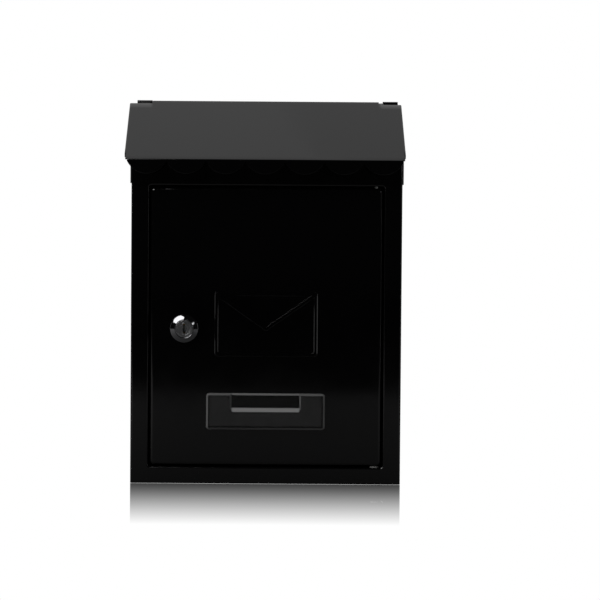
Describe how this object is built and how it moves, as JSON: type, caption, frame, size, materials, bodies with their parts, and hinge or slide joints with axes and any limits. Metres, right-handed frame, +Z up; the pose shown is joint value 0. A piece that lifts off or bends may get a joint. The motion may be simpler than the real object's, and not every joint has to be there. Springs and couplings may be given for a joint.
{
  "type": "wall mailbox",
  "caption": "Wall-mounted sheet-metal mailbox with a pitched scalloped lid, a side-hinged locking door and a clear name-card holder.",
  "frame": {"origin": "middle of the four wall holes, on the wall face of the back panel", "axes": "+X to the right as seen from the front, +Y into the wall, +Z up"},
  "size_m": [0.217, 0.082, 0.3],
  "materials": {
    "black_paint": "gloss",
    "chrome": "polished",
    "plug_chrome": "satin",
    "zinc_steel": "zinc plated",
    "spring_steel": "bright",
    "brass": "stamped",
    "grey_nylon": "moulded",
    "clear_plastic": "clear, polished"
  },
  "bodies": {
    "housing": {"body_shell": "black_paint", "bottom_tray": "black_paint", "back_panel": "black_paint", "hood": "black_paint", "lid_hinge_rod": "zinc_steel", "door_hinge_pins": "zinc_steel", "door_hinge_washer": "grey_nylon"},
    "lid": {"lid": "black_paint"},
    "door": {"door_panel": "black_paint", "name_card_holder": "clear_plastic", "holder_push_nuts": "spring_steel", "lock_housing": "chrome", "lock_nut": "zinc_steel", "lock_tooth_washer": "zinc_steel"},
    "lock_core": {"lock_plug": "plug_chrome", "lock_wafers": "brass", "lock_wafer_springs": "spring_steel", "lock_stop_washer": "zinc_steel", "lock_cam": "zinc_steel", "lock_cam_washer": "zinc_steel", "lock_cam_screw": "zinc_steel"}
  },
  "joints": [
    {"name": "lid_hinge", "type": "hinge", "parent": "housing", "child": "lid", "pos_m": [0, -0.00246, 0.16754], "axis": [-1, 0, 0], "range_deg": [0, 120]},
    {"name": "door_hinge", "type": "hinge", "parent": "housing", "child": "door", "pos_m": [0.085, -0.064, 0], "axis": [0, 0, 1], "range_deg": [0, 108]},
    {"name": "lock_turn", "type": "hinge", "parent": "door", "child": "lock_core", "pos_m": [-0.0635, -0.068, -0.0095], "axis": [0, 1, 0], "range_deg": [0, 90]}
  ]
}
